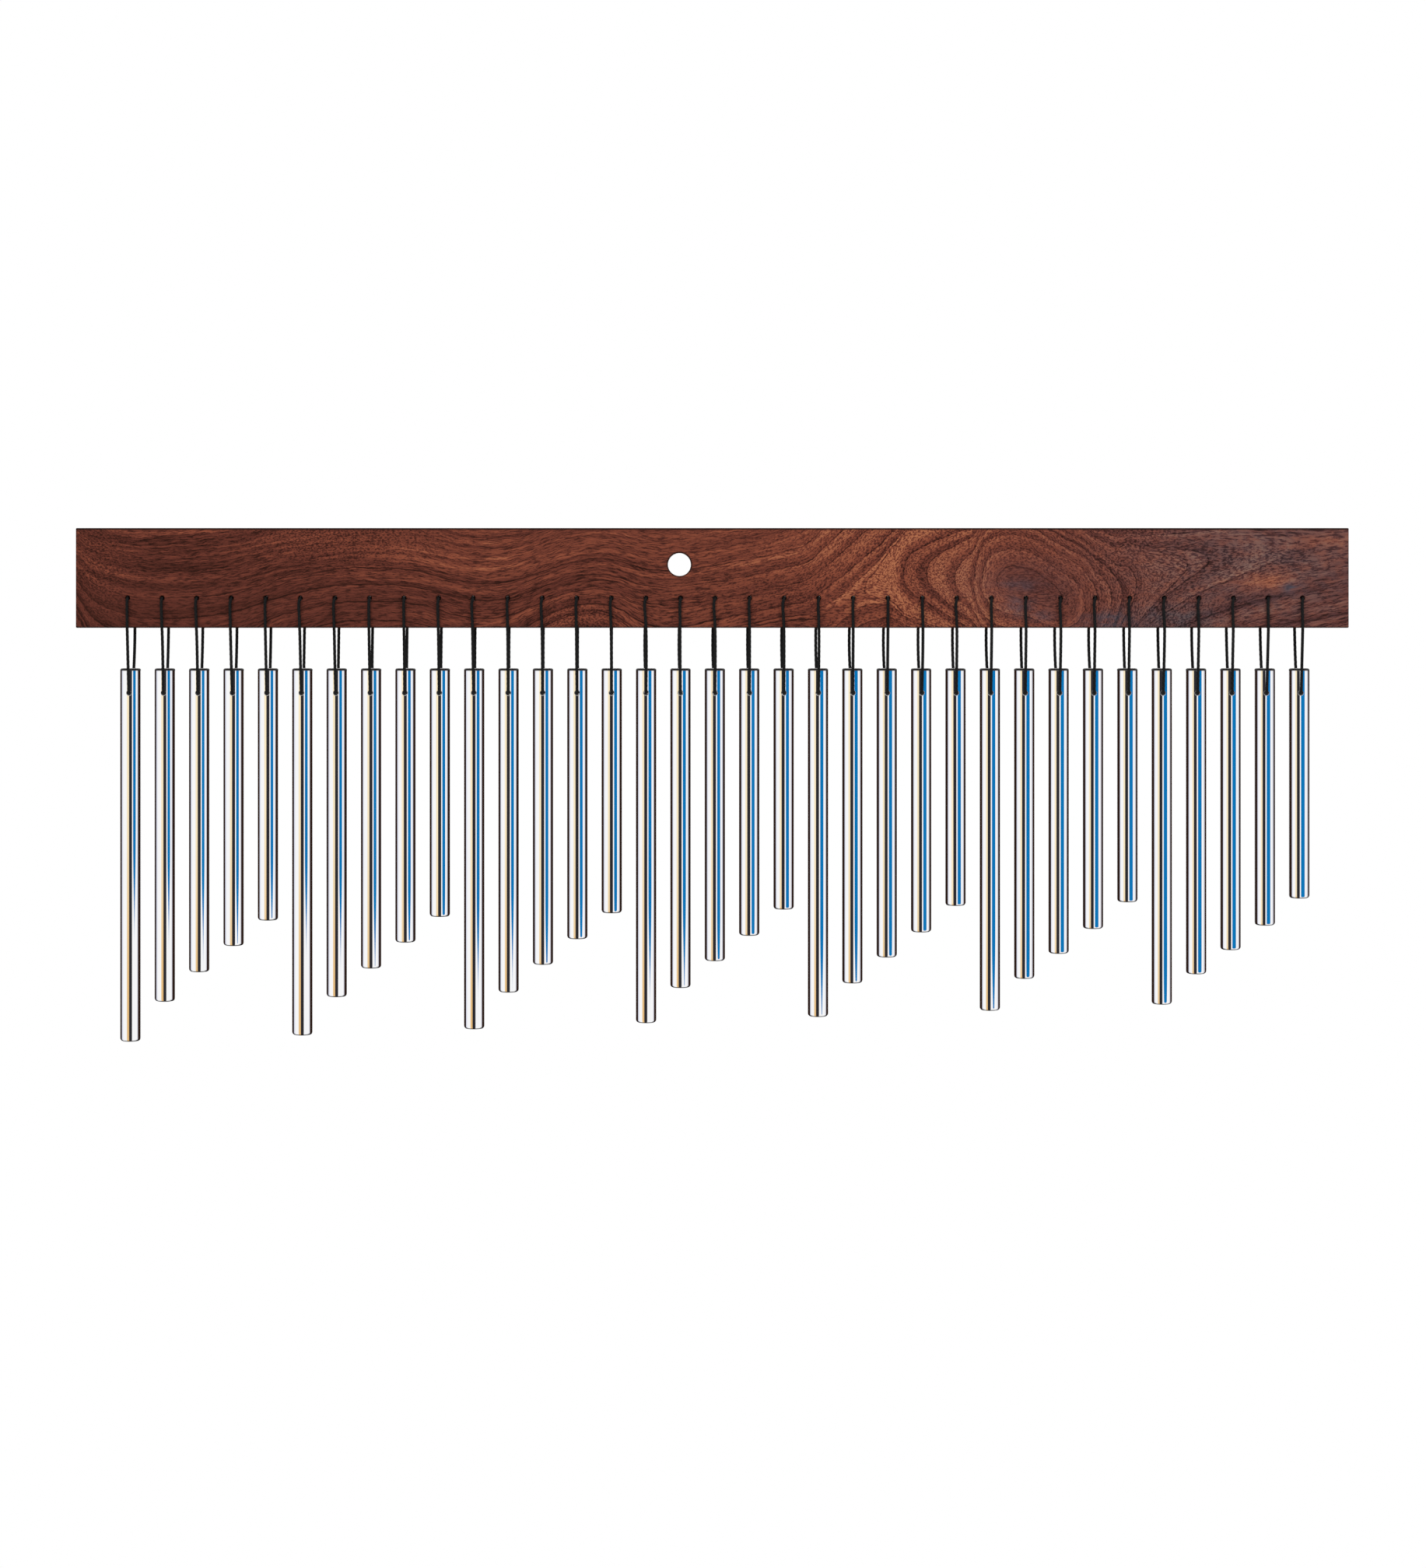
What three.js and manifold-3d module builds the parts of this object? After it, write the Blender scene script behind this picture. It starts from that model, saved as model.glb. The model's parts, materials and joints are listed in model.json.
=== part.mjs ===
// Bar chime: a wooden mantle with a row of polished metal bars that hang on cord and swing along the row.
// Millimetres, +Z up, +X to the right along the row, the front towards -Y.
// The origin is the middle of the stand hole, halfway through the mantle.

import * as THREE from 'three';
import { mergeVertices } from 'three/addons/utils/BufferGeometryUtils.js';
import Module from 'manifold-3d';

// Bars: the lengths of the first and the last group of the row, from left to right in each group.
// The groups between them step evenly from the one to the other.
const LONGEST_BAR = 179.4;
const SHORTEST_BAR = 110.6;
const FIRST_GROUP_LENGTHS = [LONGEST_BAR, 160.2, 146.0, 133.4, 121.2];
const LAST_GROUP_LENGTHS = [161.6, 147.0, 135.4, 123.6, SHORTEST_BAR];
const GROUP_COUNT = 7;
const BAR_DIAMETER = 9.8;
const BAR_GAP = 6.75;
const BAR_END_EASE = 0.8;
const BAR_HOLE_DROP = 11.7;
const BAR_HOLE_PLAY = 0.35;
const HANG_GAP = 19.6;

// Mantle: margins from its ends to the outer cord holes, and heights from its edges to its holes.
const LEFT_MARGIN = 24.8;
const RIGHT_MARGIN = 22.1;
const MANTLE_THICKNESS = 19;
const MANTLE_EDGE_EASE = 0.5;
const STAND_HOLE_DIAMETER = 11.1;
const STAND_HOLE_FROM_LEFT = 289.1;
const STAND_HOLE_DROP = 17.4;
const CORD_HOLES_BELOW_STAND_HOLE = 16.1;
const CORD_HOLE_RISE = 14.3;
const CORD_HOLE_PLAY = 0.35;

// Cord: its bends are measured on its centre line, and its gap is to the wood and the bar that it bears on.
const CORD_DIAMETER = 1.5;
const CORD_BEND_RADIUS = 1.15;
const CORD_GAP = 0.3;
const KNOT_DIAMETER = 4;
const KNOT_DEPTH = 2.6;

// Form of a knot, as shares of its depth and radius.
const KNOT_FOOT = 0.8;
const KNOT_SHOULDER_HEIGHT = 0.4;
const KNOT_CROWN = 0.7;
const KNOT_CROWN_HEIGHT = 0.85;

// Facets
const BAR_SIDES = 16;
const STAND_HOLE_SIDES = 24;
const CORD_HOLE_SIDES = 8;
const CORD_SIDES = 6;
const KNOT_SIDES = 6;

const GROUP_SIZE = FIRST_GROUP_LENGTHS.length;
const BAR_COUNT = GROUP_COUNT * GROUP_SIZE;
const BAR_PITCH = BAR_DIAMETER + BAR_GAP;
const MANTLE_LENGTH = LEFT_MARGIN + (BAR_COUNT - 1) * BAR_PITCH + RIGHT_MARGIN;
const MANTLE_LEFT = -STAND_HOLE_FROM_LEFT;
const MANTLE_TOP = STAND_HOLE_DROP;
const CORD_HOLES_Z = -CORD_HOLES_BELOW_STAND_HOLE;
const MANTLE_BOTTOM = CORD_HOLES_Z - CORD_HOLE_RISE;
const MANTLE_HEIGHT = MANTLE_TOP - MANTLE_BOTTOM;
const MANTLE_FACE = MANTLE_THICKNESS / 2;
const BARS_TOP = MANTLE_BOTTOM - HANG_GAP;
const BAR_HOLES_Z = BARS_TOP - BAR_HOLE_DROP;
const CORD_HOLE_DIAMETER = CORD_DIAMETER + 2 * CORD_HOLE_PLAY;
const BAR_HOLE_DIAMETER = CORD_DIAMETER + 2 * BAR_HOLE_PLAY;
const CUT_OVERSHOOT = 2;

const walnut = new THREE.MeshStandardMaterial({ color: 0x5a2d22, roughness: 0.45, metalness: 0 });
const polishedMetal = new THREE.MeshStandardMaterial({ color: 0xe4e6ea, roughness: 0.08, metalness: 1 });
const blackCord = new THREE.MeshStandardMaterial({ color: 0x16181a, roughness: 0.8, metalness: 0 });

const wasm = await Module();
wasm.setup();

// A closed solid from a geometry: shared corners are merged and triangles without area are left out.
function solidFrom(geometry) {
  const bare = geometry.clone();
  bare.deleteAttribute('normal');
  bare.deleteAttribute('uv');
  const merged = mergeVertices(bare, 1e-4);
  const index = merged.index.array;
  const triangles = [];
  for (let i = 0; i < index.length; i += 3) {
    const [a, b, c] = index.slice(i, i + 3);
    if (a !== b && b !== c && c !== a) {
      triangles.push(a, b, c);
    }
  }
  return new wasm.Manifold(new wasm.Mesh({
    numProp: 3,
    vertProperties: new Float32Array(merged.attributes.position.array),
    triVerts: new Uint32Array(triangles),
  }));
}

function meshFrom(solid, name, material) {
  const { vertProperties, triVerts } = solid.getMesh();
  const geometry = new THREE.BufferGeometry();
  geometry.setAttribute('position', new THREE.BufferAttribute(vertProperties, 3));
  geometry.setIndex(new THREE.BufferAttribute(triVerts, 1));
  const mesh = new THREE.Mesh(geometry, material);
  mesh.name = name;
  return mesh;
}

// A round cutter along Y, longer than what it goes through.
function holeCutter(diameter, depth, sides, x, z) {
  const radius = diameter / 2;
  const cutter = new THREE.CylinderGeometry(radius, radius, depth + CUT_OVERSHOOT, sides);
  cutter.translate(x, 0, z);
  return solidFrom(cutter);
}

function barX(index) {
  return MANTLE_LEFT + LEFT_MARGIN + index * BAR_PITCH;
}

function barLength(index) {
  const place = index % GROUP_SIZE;
  const along = Math.floor(index / GROUP_SIZE) / (GROUP_COUNT - 1);
  return THREE.MathUtils.lerp(FIRST_GROUP_LENGTHS[place], LAST_GROUP_LENGTHS[place], along);
}

function twoDigits(number) {
  return String(number).padStart(2, '0');
}

// The mantle: a board with eased edges, a hole for the stand and one small hole above each bar.
function makeMantle() {
  const outline = new THREE.Shape();
  const left = MANTLE_LEFT + MANTLE_EDGE_EASE;
  const right = MANTLE_LEFT + MANTLE_LENGTH - MANTLE_EDGE_EASE;
  const bottom = MANTLE_BOTTOM + MANTLE_EDGE_EASE;
  const top = MANTLE_TOP - MANTLE_EDGE_EASE;
  outline.moveTo(left, bottom);
  outline.lineTo(right, bottom);
  outline.lineTo(right, top);
  outline.lineTo(left, top);
  outline.closePath();
  const board = new THREE.ExtrudeGeometry(outline, {
    depth: MANTLE_THICKNESS - 2 * MANTLE_EDGE_EASE,
    bevelThickness: MANTLE_EDGE_EASE,
    bevelSize: MANTLE_EDGE_EASE,
    bevelSegments: 1,
  });
  board.translate(0, 0, MANTLE_EDGE_EASE - MANTLE_FACE);
  board.rotateX(Math.PI / 2);
  let solid = solidFrom(board);
  solid = solid.subtract(holeCutter(STAND_HOLE_DIAMETER, MANTLE_THICKNESS, STAND_HOLE_SIDES, 0, 0));
  for (let i = 0; i < BAR_COUNT; i += 1) {
    const x = barX(i);
    const hole = holeCutter(CORD_HOLE_DIAMETER, MANTLE_THICKNESS, CORD_HOLE_SIDES, x, CORD_HOLES_Z);
    solid = solid.subtract(hole);
  }
  return meshFrom(solid, 'mantle', walnut);
}

// One bar: solid rod with eased ends and a cross hole for the cord, in its own frame at the cross hole.
function makeBar(index) {
  const radius = BAR_DIAMETER / 2;
  const top = BAR_HOLE_DROP;
  const bottom = BAR_HOLE_DROP - barLength(index);
  const profile = [
    new THREE.Vector2(0, bottom),
    new THREE.Vector2(radius - BAR_END_EASE, bottom),
    new THREE.Vector2(radius, bottom + BAR_END_EASE),
    new THREE.Vector2(radius, top - BAR_END_EASE),
    new THREE.Vector2(radius - BAR_END_EASE, top),
    new THREE.Vector2(0, top),
  ];
  const rod = new THREE.LatheGeometry(profile, BAR_SIDES);
  rod.rotateX(Math.PI / 2);
  const hole = holeCutter(BAR_HOLE_DIAMETER, BAR_DIAMETER, CORD_HOLE_SIDES, 0, 0);
  const bar = meshFrom(solidFrom(rod).subtract(hole), `bar_${twoDigits(index + 1)}`, polishedMetal);
  bar.position.set(barX(index), 0, BAR_HOLES_Z);
  return bar;
}

// A cord's route in a plane of constant x: one station at each end of a straight and three on each bend.
class CordRoute extends THREE.Curve {
  constructor(stations) {
    super();
    this.stations = stations;
  }

  getPointAt(u, target = new THREE.Vector3()) {
    const index = Math.round(u * (this.stations.length - 1));
    return target.copy(this.stations[index]);
  }

  getTangentAt(u, target = new THREE.Vector3()) {
    const last = this.stations.length - 1;
    const index = Math.round(u * last);
    const before = this.stations[Math.max(index - 1, 0)];
    const here = this.stations[index];
    const after = this.stations[Math.min(index + 1, last)];
    const arriving = here.clone().sub(before).normalize();
    const leaving = after.clone().sub(here).normalize();
    return target.copy(arriving).add(leaving).normalize();
  }
}

function makeTube(stations) {
  const section = new THREE.Shape();
  const radius = CORD_DIAMETER / 2;
  for (let i = 0; i < CORD_SIDES; i += 1) {
    const angle = (2 * Math.PI * i) / CORD_SIDES;
    const point = [radius * Math.cos(angle), radius * Math.sin(angle)];
    if (i === 0) {
      section.moveTo(...point);
    } else {
      section.lineTo(...point);
    }
  }
  section.closePath();
  return solidFrom(new THREE.ExtrudeGeometry(section, {
    steps: stations.length - 1,
    extrudePath: new CordRoute(stations),
  }));
}

// The cord's centre line where it lies on a face of the mantle, bears in a mantle hole and bears in a bar.
const STRAND_OFFSET = MANTLE_FACE + CORD_GAP + CORD_DIAMETER / 2;
const CORD_IN_MANTLE_Z = CORD_HOLES_Z - (CORD_HOLE_PLAY - CORD_GAP);
const CORD_IN_BAR_Z = BAR_HOLES_Z + (BAR_HOLE_PLAY - CORD_GAP);

// One loop: from the knot through the mantle, down the front, through the bar and up the back to the knot.
function makeLoop(x) {
  const frontBend = new THREE.Vector2(CORD_BEND_RADIUS - STRAND_OFFSET, CORD_IN_MANTLE_Z - CORD_BEND_RADIUS);
  const barStrand = BAR_DIAMETER / 2 + CORD_GAP + CORD_DIAMETER / 2;
  const barBend = new THREE.Vector2(barStrand - CORD_BEND_RADIUS, CORD_IN_BAR_Z + CORD_BEND_RADIUS);
  const across = STRAND_OFFSET - barBend.x;
  const up = MANTLE_BOTTOM - barBend.y;
  const slope = Math.atan2(across, up) - Math.asin(CORD_BEND_RADIUS / Math.hypot(across, up));

  const route = new THREE.Path();
  route.moveTo(STRAND_OFFSET, CORD_IN_MANTLE_Z);
  route.absarc(frontBend.x, frontBend.y, CORD_BEND_RADIUS, Math.PI / 2, Math.PI, false);
  route.lineTo(-STRAND_OFFSET, MANTLE_BOTTOM);
  route.absarc(-barBend.x, barBend.y, CORD_BEND_RADIUS, Math.PI + slope, 1.5 * Math.PI, false);
  route.absarc(barBend.x, barBend.y, CORD_BEND_RADIUS, 1.5 * Math.PI, 2 * Math.PI - slope, false);
  route.lineTo(STRAND_OFFSET, MANTLE_BOTTOM);
  route.lineTo(STRAND_OFFSET, CORD_IN_MANTLE_Z);
  const stations = route.getPoints(1).map((point) => new THREE.Vector3(x, point.x, point.y));
  return makeTube(stations);
}

// A knot: a round lump on the back of the mantle, over the hole.
function makeKnot(x) {
  const radius = KNOT_DIAMETER / 2;
  const profile = [
    new THREE.Vector2(0, 0),
    new THREE.Vector2(KNOT_FOOT * radius, 0),
    new THREE.Vector2(radius, KNOT_SHOULDER_HEIGHT * KNOT_DEPTH),
    new THREE.Vector2(KNOT_CROWN * radius, KNOT_CROWN_HEIGHT * KNOT_DEPTH),
    new THREE.Vector2(0, KNOT_DEPTH),
  ];
  const knot = new THREE.LatheGeometry(profile, KNOT_SIDES);
  knot.translate(x, MANTLE_FACE + CORD_GAP, CORD_IN_MANTLE_Z);
  return solidFrom(knot);
}

// One cord for a group of bars: a loop and a knot for each bar, and a run along the back between the knots.
function makeCord(group) {
  const firstBar = group * GROUP_SIZE;
  let solid = null;
  for (let i = firstBar; i < firstBar + GROUP_SIZE; i += 1) {
    const x = barX(i);
    const tied = makeLoop(x).add(makeKnot(x));
    solid = solid ? solid.add(tied) : tied;
    if (i > firstBar) {
      const run = makeTube([
        new THREE.Vector3(barX(i - 1), STRAND_OFFSET, CORD_IN_MANTLE_Z),
        new THREE.Vector3(x, STRAND_OFFSET, CORD_IN_MANTLE_Z),
      ]);
      solid = solid.add(run);
    }
  }
  return meshFrom(solid, `cord_${group + 1}`, blackCord);
}

const chime = new THREE.Group();
chime.add(makeMantle());
for (let i = 0; i < BAR_COUNT; i += 1) {
  chime.add(makeBar(i));
}
for (let group = 0; group < GROUP_COUNT; group += 1) {
  chime.add(makeCord(group));
}

export default chime;
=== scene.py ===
import json
import math

import bmesh
import bpy
import numpy as np
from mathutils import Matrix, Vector


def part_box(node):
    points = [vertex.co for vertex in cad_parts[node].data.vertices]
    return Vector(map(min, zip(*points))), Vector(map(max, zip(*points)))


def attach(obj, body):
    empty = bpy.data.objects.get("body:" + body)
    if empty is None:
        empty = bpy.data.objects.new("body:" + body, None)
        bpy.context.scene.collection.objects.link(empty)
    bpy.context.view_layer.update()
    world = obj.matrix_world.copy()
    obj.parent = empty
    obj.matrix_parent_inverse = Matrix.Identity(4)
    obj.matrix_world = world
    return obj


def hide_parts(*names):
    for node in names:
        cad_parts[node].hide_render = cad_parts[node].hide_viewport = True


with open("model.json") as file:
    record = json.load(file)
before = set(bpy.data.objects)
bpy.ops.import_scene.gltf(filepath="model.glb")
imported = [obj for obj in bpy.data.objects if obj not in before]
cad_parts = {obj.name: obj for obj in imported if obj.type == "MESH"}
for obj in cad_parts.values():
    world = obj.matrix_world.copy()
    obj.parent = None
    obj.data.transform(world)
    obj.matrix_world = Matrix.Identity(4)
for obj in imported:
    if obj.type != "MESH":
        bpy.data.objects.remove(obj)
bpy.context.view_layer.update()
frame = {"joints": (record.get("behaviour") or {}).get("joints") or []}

# Bar chime: a dark wooden mantle, thirty-five polished bars and the black braided cord that they hang on.
# Metres, +Z up, the front towards -Y, the origin in the middle of the stand hole.

MM = 0.001

# Places and sizes from the frame
MANTLE_LOW, MANTLE_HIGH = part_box("mantle")
MANTLE_FACE = MANTLE_HIGH.y
SWINGS = {joint["child"]: Vector(joint["pos_m"]) for joint in frame["joints"]}
BAR_NAMES = sorted(SWINGS)
BAR_LOW, BAR_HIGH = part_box(BAR_NAMES[0])
BAR_RADIUS = (BAR_HIGH.x - BAR_LOW.x) / 2
BAR_TOP = BAR_HIGH.z - SWINGS[BAR_NAMES[0]].z
GROUP_SIZE = 5

# Sizes that the frame doesn't state
STAND_HOLE_RADIUS = 5.55 * MM
CORD_HOLE_RADIUS = 1.1 * MM
CORD_HOLES_Z = -16.1 * MM
MANTLE_EASE = 0.5 * MM
BAR_HOLE_RADIUS = 1.1 * MM
BAR_HOLE_LIP = 0.3 * MM
BAR_END_EASE = 0.8 * MM
BAR_FOOT_EASE = 1.5 * MM
CORD_RADIUS = 0.75 * MM
CORD_BEND = 1.15 * MM
CORD_EDGE_BEND = 6 * MM
CORD_GAP = 0.3 * MM
BUNCHING = 0.23 * MM
BUNCHING_REACH = 1.2 * MM
KNOT_CORD_RADIUS = 0.66 * MM
KNOT_RADIUS = 1.3 * MM
KNOT_TOP = 2.6 * MM
KNOT_TAIL = 3.0 * MM
KNOT_DIP = 0.35 * KNOT_RADIUS
LOOP_END_RISE = 0.4 * KNOT_RADIUS

# How far the strands stray at random: a bow to either side, and a kink of the front one to the left, with the
# drop below the mantle's hole where it is widest
STRAND_BOW = 0.22 * MM
KINK_MOST = 0.75 * MM
KINK_DROP = 3.7 * MM

# For places along the row, how far to the right the back strands bow besides. Millimetres.
BACK_BOW = [
    (-230, 0.35), (-190, 0.0), (-40, -0.1), (-15, -0.75), (140, -0.85), (240, -0.55), (300, -0.3),
]

# Fineness of the surfaces. A bar's patch is the square round a mouth of its hole, in sides each way from its
# middle. The rings of a bar's ends and patches are shares of the way, and its turns are in degrees.
STAND_HOLE_SIDES = 64
CORD_HOLE_SIDES = 24
MANTLE_EASE_STEPS = 2
WELD_DISTANCE = 1e-6
FLAT_NORMAL = 0.999
BAR_SIDES = 64
BAR_PATCH = 6
BAR_STEP = 14 * MM
BAR_UPPER_STEPS = 3
BAR_END_RINGS = (0.35, 0.7)
BAR_END_TURNS = (90, 72, 54, 36, 18, 0)
BAR_PATCH_RINGS = (0.25, 0.5, 0.75, 1.0)
BAR_LIP_TURNS = (30, 60, 90)
CORD_SIDES = 12
CORD_STEP = 0.4 * MM
KNOT_STEPS = 32

# The braid. Its start is a direction that no cord sets out in, and the cords' tips are drawn in and rounded.
BRAID_STRANDS = 3
BRAID_PITCH = 2.4 * MM
BRAID_RELIEF = 0.1
BRAID_START = (0.31, 0.17, 0.93)
TIP_WIDTH = 0.7
TIP_REACH = 0.3
TIP_HEIGHT = 0.3

# How far the bars' mirrored pictures lean, from the first bar to the last, as if the bars didn't hang dead
# plumb, and how far one strays from that. Degrees.
FIRST_LEAN = -0.6
LAST_LEAN = 1.7
LEAN_WANDER = 0.25

STRAND_OFFSET = MANTLE_FACE + CORD_GAP + CORD_RADIUS
CORD_IN_MANTLE_Z = CORD_HOLES_Z - (CORD_HOLE_RADIUS - CORD_RADIUS - CORD_GAP)
CORD_IN_BAR_LIFT = BAR_HOLE_RADIUS - CORD_RADIUS - CORD_GAP


# Shader helpers

class Field:
    """A value that changes over a surface. Sums with it add shader nodes."""

    def __init__(self, tree, socket):
        self.tree = tree
        self.socket = socket

    def math(self, operation, *others):
        return calc(self.tree, operation, self, *others)

    def __add__(self, other):
        return self.math("ADD", other)

    def __sub__(self, other):
        return self.math("SUBTRACT", other)

    def __mul__(self, other):
        return self.math("MULTIPLY", other)

    def __truediv__(self, other):
        return self.math("DIVIDE", other)

    def __rsub__(self, other):
        return calc(self.tree, "SUBTRACT", other, self)

    def __abs__(self):
        return self.math("ABSOLUTE")

    __radd__ = __add__
    __rmul__ = __mul__


def new_material(name):
    material = bpy.data.materials.new(name)
    material.use_nodes = True
    material.node_tree.nodes.clear()
    return material


def add_node(tree, kind, inputs=None, **settings):
    """A node with its settings, and its inputs set to values or linked to fields or sockets."""
    node = tree.nodes.new(kind)
    for name, value in settings.items():
        setattr(node, name, value)
    for key, value in (inputs or {}).items():
        source = value.socket if isinstance(value, Field) else value
        if isinstance(source, bpy.types.NodeSocket):
            tree.links.new(source, node.inputs[key])
        else:
            node.inputs[key].default_value = source
    return node


def calc(tree, operation, *values):
    node = add_node(tree, "ShaderNodeMath", dict(enumerate(values)), operation=operation)
    return Field(tree, node.outputs[0])


def coordinates(tree, kind="Object", scale=1 / MM):
    """The object's own coordinates or normal as three fields, in millimetres unless said otherwise."""
    place = add_node(tree, "ShaderNodeTexCoord").outputs[kind]
    scaled = add_node(tree, "ShaderNodeVectorMath", {0: place, 3: scale}, operation="SCALE")
    split = add_node(tree, "ShaderNodeSeparateXYZ", {0: scaled.outputs[0]})
    return [Field(tree, socket) for socket in split.outputs]


def mix_colour(tree, factor, first, second, kind="MIX"):
    inputs = {0: factor, 6: first, 7: second}
    return add_node(tree, "ShaderNodeMix", inputs, data_type="RGBA", blend_type=kind).outputs[2]


def ramp(tree, factor, stops):
    """A colour ramp from (position, colour) stops."""
    node = add_node(tree, "ShaderNodeValToRGB", {0: factor})
    band = node.color_ramp
    while len(band.elements) < len(stops):
        band.elements.new(1.0)
    for element, (position, colour) in zip(band.elements, stops):
        element.position = position
        element.color = (*colour, 1.0)
    return node.outputs[0]


def curve_of(field, points):
    """A smooth curve of a field through (place, value) points."""
    places = [place for place, _ in points]
    values = [value for _, value in points]
    low, high = min(values), max(values)
    share = add_node(field.tree, "ShaderNodeMapRange", {0: field, 1: places[0], 2: places[-1]}).outputs[0]
    node = add_node(field.tree, "ShaderNodeFloatCurve", {1: share})
    line = node.mapping.curves[0]
    scaled = []
    for place, value in points:
        scaled.append(((place - places[0]) / (places[-1] - places[0]), (value - low) / (high - low)))
    line.points[0].location = scaled[0]
    line.points[1].location = scaled[-1]
    for location in scaled[1:-1]:
        line.points.new(*location)
    for point in line.points:
        point.handle_type = "AUTO_CLAMPED"
    node.mapping.update()
    return low + (high - low) * Field(field.tree, node.outputs[0])


def noise(tree, place, detail=2.0, roughness=0.5):
    """Noise in three dimensions, one unit of its place to a grain."""
    vector = add_node(tree, "ShaderNodeCombineXYZ", dict(enumerate(place))).outputs[0]
    inputs = {"Vector": vector, "Scale": 1.0, "Detail": detail, "Roughness": roughness}
    return Field(tree, add_node(tree, "ShaderNodeTexNoise", inputs, normalize=True).outputs[0])


def stretch(field, low, high, to_low=0.0, to_high=1.0):
    """A soft step of a field from one level to another."""
    inputs = {"Value": field, "From Min": low, "From Max": high, "To Min": to_low, "To Max": to_high}
    node = add_node(field.tree, "ShaderNodeMapRange", inputs, interpolation_type="SMOOTHSTEP")
    return Field(field.tree, node.outputs[0])


def spot(x, z, middle, spread):
    """A soft round spot: 1 in its middle, falling to 0."""
    across = (x - middle[0]) / spread[0]
    up = (z - middle[1]) / spread[1]
    return ((across * across + up * up) * -1.0).math("EXPONENT")


# The wood is cut from a trunk whose heart wanders along the board. For places along the board, these say how
# far in front of the face the heart runs and how high, both in millimetres, and how light the wood is.
HEART_DISTANCE = [
    (-289, 28.7), (-272, 45.5), (-235, 50.2), (-185, 44.2), (-148, 41.2), (-92, 41.2), (-47, 35.1),
    (-5, 43.5), (40, 42.0), (80, 44.7), (110, 39.7), (140, 32.7), (163, 22.1), (200, 31.5), (215, 39.1),
    (237, 44.0), (262, 45.6), (320.5, 48.5),
]
HEART_HEIGHT = [
    (-289, -57.9), (-140, -50.3), (-90, -57.8), (-40, -50.4), (10, -47.9), (50, -41.0), (70, -27.8),
    (80, -18.9), (95, -8.8), (110, -4.0), (140, -6.6), (163, -8.6), (200, -19.2), (215, -11.8), (255, 2.5),
    (285, 8.0), (320.5, 12.5),
]
WOOD_LIGHTNESS = [
    (-289, 0.355), (-200, 0.365), (-130, 0.42), (-40, 0.46), (20, 0.51), (60, 0.58), (95, 0.68), (125, 0.655),
    (150, 0.625), (200, 0.545), (250, 0.58), (320.5, 0.56),
]

# Distances from the heart where a season's growth ends in a dark line
SEASON_ENDS = (23.5, 27.3, 31.7, 35.0, 38.0, 40.5, 44.5, 45.1, 47.3, 52.4, 57.8, 63.6)

# For distances from the heart, how much lighter or darker the seasons are where they open out in points
SEASON_GLOW = [
    (20, 0.0), (31, 0.0), (34, 0.06), (36.5, 0.06), (38.2, -0.08), (39.9, -0.16), (41.0, -0.06), (41.8, 0.08),
    (43.5, 0.12), (45.0, 0.12), (45.8, -0.04), (48, 0.02), (52, -0.02), (56, 0.04), (80, 0.0),
]
SEASON_GLOW_SPOT = ((98, -4), (38, 60))

# Where the heart comes nearest to the face, with fainter pores and lines: middle and spread
HEART_SPOT = ((163, -8), (26, 17))

# The wood's tones from its pores to its palest bands
WOOD_TONES = [
    (0.0, (0.020, 0.0050, 0.0026)),
    (0.25, (0.051, 0.0128, 0.0080)),
    (0.5, (0.112, 0.0278, 0.0180)),
    (0.75, (0.228, 0.0600, 0.0315)),
    (1.0, (0.410, 0.1470, 0.0670)),
]

# The tint of dusky places, which multiplies the wood's own, and the colours of the stains and of the painted
# shade on the edges
DUSK_TINT = (0.5, 1.34, 2.5, 1.0)
STAIN_COLOUR = (0.045, 0.062, 0.085, 1.0)
EDGE_PAINTED_SHADE = (0.010, 0.0045, 0.0035, 1.0)

# Dusky shade, blue-grey stains, bright and shady places: middle, spread and strength
WOOD_DUSK = (
    ((238, -25), (34, 9), 1.0),
    ((168, -12), (34, 18), 0.36),
    ((282, 0), (80, 45), 0.75),
)
WOOD_STAINS = (
    ((163, -20), (6, 4.5), 0.6),
    ((173, -25), (6, 3), 0.45),
    ((162, -10), (9, 2.5), 0.4),
    ((205, -27), (12, 4.5), 0.6),
    ((293, -11), (4.5, 2.2), 0.9),
)
WOOD_BRIGHT = (
    ((158, -21), (26, 9), 0.06),
    ((281, -8), (14, 5), 0.2),
    ((306, 11), (16, 3.5), 0.1),
)
WOOD_SHADY = (
    ((75, -27), (32, 6), 0.14),
)

# Where the grain comes out of the face, so that its pores are cut short: middle and spread
SHORT_GRAIN = (
    ((130, -4), (90, 60)),
    ((225, -4), (45, 60)),
    ((265, 0), (45, 13)),
    ((-48, -32), (20, 15)),
    ((-289, -6), (26, 40)),
    ((-160, 14), (50, 14)),
)

# Where parts of the board begin and where they have their full measure: along the board for its left, its
# right end, calmer seasons and fainter lines, and up it for its upper and its lower part. Millimetres.
LEFT = (-40.0, -200.0)
RIGHT_END = (235.0, 285.0)
CALM = (170.0, 235.0)
FAINT_LINES = (250.0, 290.0)
UPPER = (-16.0, -3.0)
LOWER = (-6.0, -18.0)

# How much wider the painted shade on the upper edges is than on the lower ones, in millimetres
UPPER_EDGE_SHADE_MORE = 0.3


def season_shade():
    """The tone within each season: dark just outside the line that ends the one before, and then paler."""
    points = []
    for start, end in zip(SEASON_ENDS, SEASON_ENDS[1:]):
        points += [(start + 0.02, -0.5), (start + 0.4 * (end - start), 0.1), (end - 0.02, 0.5)]
    return points


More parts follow.
